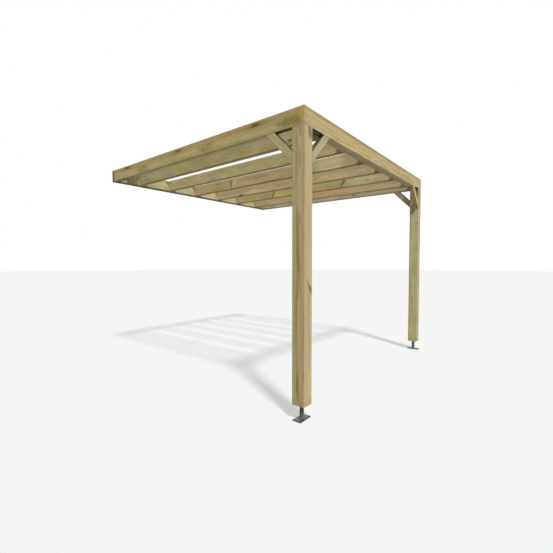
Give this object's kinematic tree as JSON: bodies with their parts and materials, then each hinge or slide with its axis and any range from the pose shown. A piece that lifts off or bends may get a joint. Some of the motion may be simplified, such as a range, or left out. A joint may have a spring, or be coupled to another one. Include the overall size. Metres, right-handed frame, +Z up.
{
  "type": "lean-to pergola",
  "caption": "Open lean-to pergola frame of planed softwood on a wall plate and two posts, with rafters level with the rim, mitred corner braces and steel post feet.",
  "frame": {"origin": "middle of the wall plate's back face, which lies on the wall", "axes": "+X along the wall, to the right as seen from the front; +Y into the wall; +Z up"},
  "size_m": [3.0175, 3.0175, 2.45],
  "materials": {
    "beam_timber": "planed pressure-treated softwood, satin",
    "post_timber": "planed pressure-treated softwood, satin",
    "foot_steel": "dark coated steel, satin"
  },
  "bodies": {
    "root": {"wall_plate": "beam_timber", "wall_rail": "beam_timber", "front_beam": "beam_timber", "front_rail": "beam_timber", "side_beam_left": "beam_timber", "side_beam_right": "beam_timber", "rafter_1": "beam_timber", "rafter_2": "beam_timber", "rafter_3": "beam_timber", "rafter_4": "beam_timber", "rafter_5": "beam_timber", "rafter_6": "beam_timber", "wall_corner_brace_left": "beam_timber", "wall_corner_brace_right": "beam_timber", "post_left": "post_timber", "post_right": "post_timber", "front_brace_left": "beam_timber", "front_brace_right": "beam_timber", "side_brace_left": "beam_timber", "side_brace_right": "beam_timber", "foot_rod_left": "foot_steel", "foot_rod_right": "foot_steel", "foot_plate_left": "foot_steel", "foot_plate_right": "foot_steel"}
  },
  "joints": []
}
